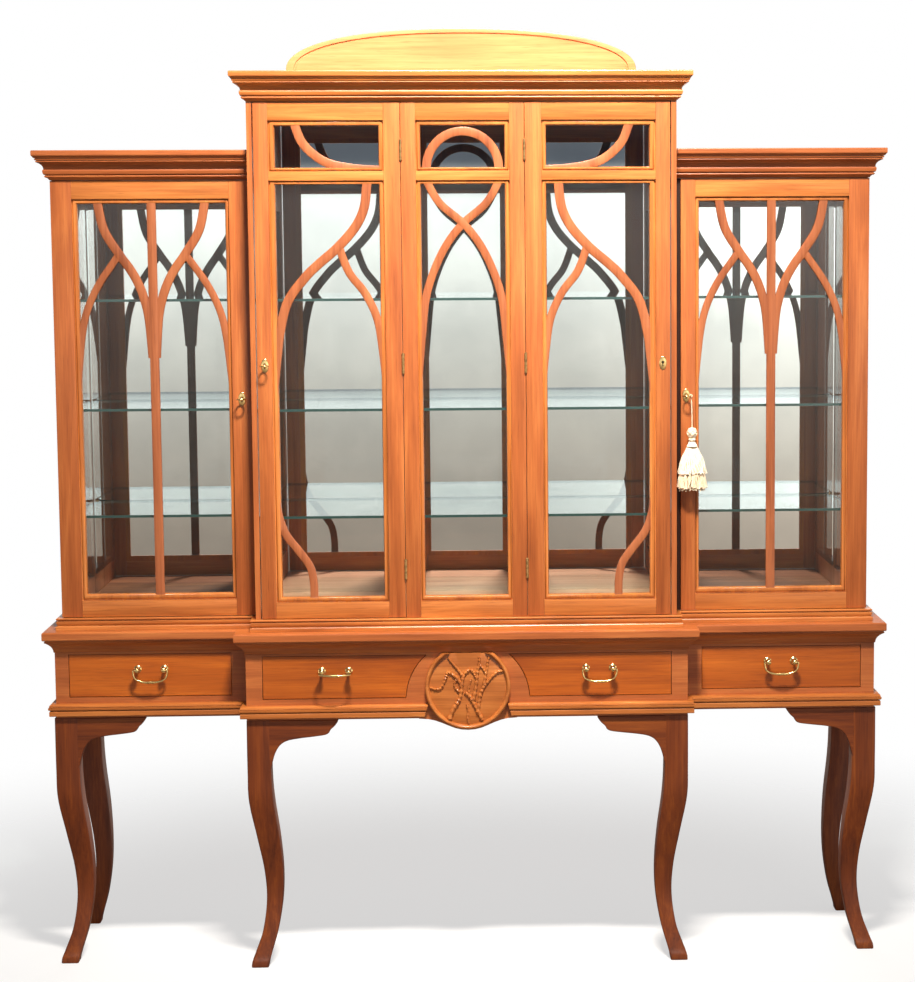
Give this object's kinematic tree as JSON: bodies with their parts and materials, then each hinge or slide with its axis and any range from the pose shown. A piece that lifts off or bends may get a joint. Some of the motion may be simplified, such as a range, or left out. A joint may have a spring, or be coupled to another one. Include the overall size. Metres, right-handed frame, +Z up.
{
  "type": "glazed china cabinet",
  "caption": "Breakfront china cabinet with mirrored back, glass shelves and fretwork glass doors, on a stand with drawers and cabriole legs.",
  "frame": {"origin": "on the floor, under the middle of the cabinet's bounding box", "axes": "+X to the right seen from the front, +Y to the back, +Z up"},
  "size_m": [1.941, 0.5168, 2.1293],
  "materials": {
    "cherry_wood": "satin varnish over reddish cherry-coloured wood",
    "leg_wood": "satin varnish, darker legs",
    "inner_wood": "plain inner boards, matt",
    "clear_glass": "clear float glass",
    "mirror_glass": "silvered plate glass",
    "brass": "polished brass",
    "tassel_silk": "cream silk cord and fringe"
  },
  "bodies": {
    "cabinet": {"table_top": "cherry_wood", "frieze": "cherry_wood", "stand_case": "cherry_wood", "lower_moulding_left": "cherry_wood", "lower_moulding_right": "cherry_wood", "medallion": "cherry_wood", "cabinet_floor": "cherry_wood", "partition_left": "cherry_wood", "partition_right": "cherry_wood", "side_frame_left": "cherry_wood", "side_frame_right": "cherry_wood", "cornice_left": "cherry_wood", "cornice_centre": "cherry_wood", "cornice_right": "cherry_wood", "pediment": "cherry_wood", "centre_panel": "cherry_wood", "leg_front_left": "leg_wood", "leg_centre_left": "leg_wood", "leg_centre_right": "leg_wood", "leg_front_right": "leg_wood", "leg_rear_left": "leg_wood", "leg_rear_right": "leg_wood", "dust_board": "inner_wood", "back_panel": "inner_wood", "partition_glass_left": "clear_glass", "partition_glass_right": "clear_glass", "side_glass_left": "clear_glass", "side_glass_right": "clear_glass", "panel_glass": "clear_glass", "shelf_left_1": "clear_glass", "shelf_left_2": "clear_glass", "shelf_left_3": "clear_glass", "shelf_centre_1": "clear_glass", "shelf_centre_2": "clear_glass", "shelf_centre_3": "clear_glass", "shelf_right_1": "clear_glass", "shelf_right_2": "clear_glass", "shelf_right_3": "clear_glass", "mirror": "mirror_glass"},
    "door_side_left": {"door_side_left": "cherry_wood", "door_glass_side_left": "clear_glass"},
    "door_side_right": {"door_side_right": "cherry_wood", "door_glass_side_right": "clear_glass"},
    "door_centre_left": {"door_centre_left": "cherry_wood", "door_glass_centre_left": "clear_glass"},
    "door_centre_right": {"door_centre_right": "cherry_wood", "door_glass_centre_right": "clear_glass"},
    "drawer_side_left": {"drawer_side_left": "cherry_wood"},
    "drawer_centre_left": {"drawer_centre_left": "cherry_wood"},
    "drawer_centre_right": {"drawer_centre_right": "cherry_wood"},
    "drawer_side_right": {"drawer_side_right": "cherry_wood"},
    "bail_side_left": {"bail_side_left": "brass"},
    "bail_centre_left": {"bail_centre_left": "brass"},
    "bail_centre_right": {"bail_centre_right": "brass"},
    "bail_side_right": {"bail_side_right": "brass"},
    "key_side_left": {"key_side_left": "brass"},
    "key_centre_left": {"key_centre_left": "brass"},
    "key_side_right": {"key_side_right": "brass"},
    "tassel": {"tassel_cord": "tassel_silk", "tassel": "tassel_silk"}
  },
  "joints": [
    {"name": "door_side_left_swing", "type": "hinge", "parent": "cabinet", "child": "door_side_left", "pos_m": [-0.93, -0.106, 1.3035], "axis": [0, 0, -1], "range_deg": [0, 105]},
    {"name": "door_side_right_swing", "type": "hinge", "parent": "cabinet", "child": "door_side_right", "pos_m": [0.93, -0.106, 1.3035], "axis": [0, 0, 1], "range_deg": [0, 105]},
    {"name": "door_centre_left_swing", "type": "hinge", "parent": "cabinet", "child": "door_centre_left", "pos_m": [-0.1385, -0.1895, 1.38825], "axis": [0, 0, 1], "range_deg": [0, 95]},
    {"name": "door_centre_right_swing", "type": "hinge", "parent": "cabinet", "child": "door_centre_right", "pos_m": [0.1385, -0.1895, 1.38825], "axis": [0, 0, -1], "range_deg": [0, 95]},
    {"name": "drawer_side_left_slide", "type": "slide", "parent": "cabinet", "child": "drawer_side_left", "axis": [0, -1, 0], "range_m": [0, 0.22]},
    {"name": "drawer_side_right_slide", "type": "slide", "parent": "cabinet", "child": "drawer_side_right", "axis": [0, -1, 0], "range_m": [0, 0.22]},
    {"name": "drawer_centre_left_slide", "type": "slide", "parent": "cabinet", "child": "drawer_centre_left", "axis": [0, -1, 0], "range_m": [0, 0.22]},
    {"name": "drawer_centre_right_slide", "type": "slide", "parent": "cabinet", "child": "drawer_centre_right", "axis": [0, -1, 0], "range_m": [0, 0.22]},
    {"name": "bail_side_left_lift", "type": "hinge", "parent": "drawer_side_left", "child": "bail_side_left", "pos_m": [-0.727, -0.1665, 0.687], "axis": [-1, 0, 0], "range_deg": [0, 95]},
    {"name": "bail_side_right_lift", "type": "hinge", "parent": "drawer_side_right", "child": "bail_side_right", "pos_m": [0.727, -0.1665, 0.687], "axis": [-1, 0, 0], "range_deg": [0, 95]},
    {"name": "bail_centre_left_lift", "type": "hinge", "parent": "drawer_centre_left", "child": "bail_centre_left", "pos_m": [-0.3015, -0.2275, 0.687], "axis": [-1, 0, 0], "range_deg": [-84, 11]},
    {"name": "bail_centre_right_lift", "type": "hinge", "parent": "drawer_centre_right", "child": "bail_centre_right", "pos_m": [0.3015, -0.2275, 0.687], "axis": [-1, 0, 0], "range_deg": [0, 95]},
    {"name": "key_side_left_turn", "type": "hinge", "parent": "door_side_left", "child": "key_side_left", "pos_m": [-0.5085, -0.1265, 1.305], "axis": [0, 1, 0], "range_deg": [0, 90]},
    {"name": "key_centre_left_turn", "type": "hinge", "parent": "door_centre_left", "child": "key_centre_left", "pos_m": [-0.45, -0.1875, 1.383], "axis": [0, 1, 0], "range_deg": [0, 90]},
    {"name": "key_side_right_turn", "type": "hinge", "parent": "door_side_right", "child": "key_side_right", "pos_m": [0.5085, -0.1265, 1.305], "axis": [0, 1, 0], "range_deg": [0, 45]},
    {"name": "tassel_swing", "type": "hinge", "parent": "key_side_right", "child": "tassel", "pos_m": [0.5179, -0.1465, 1.305], "axis": [0, 1, 0], "range_deg": [-45, 0]}
  ],
  "couplings": [
    {"joint": "tassel_swing", "follows": "key_side_right_turn", "ratio": -1}
  ]
}
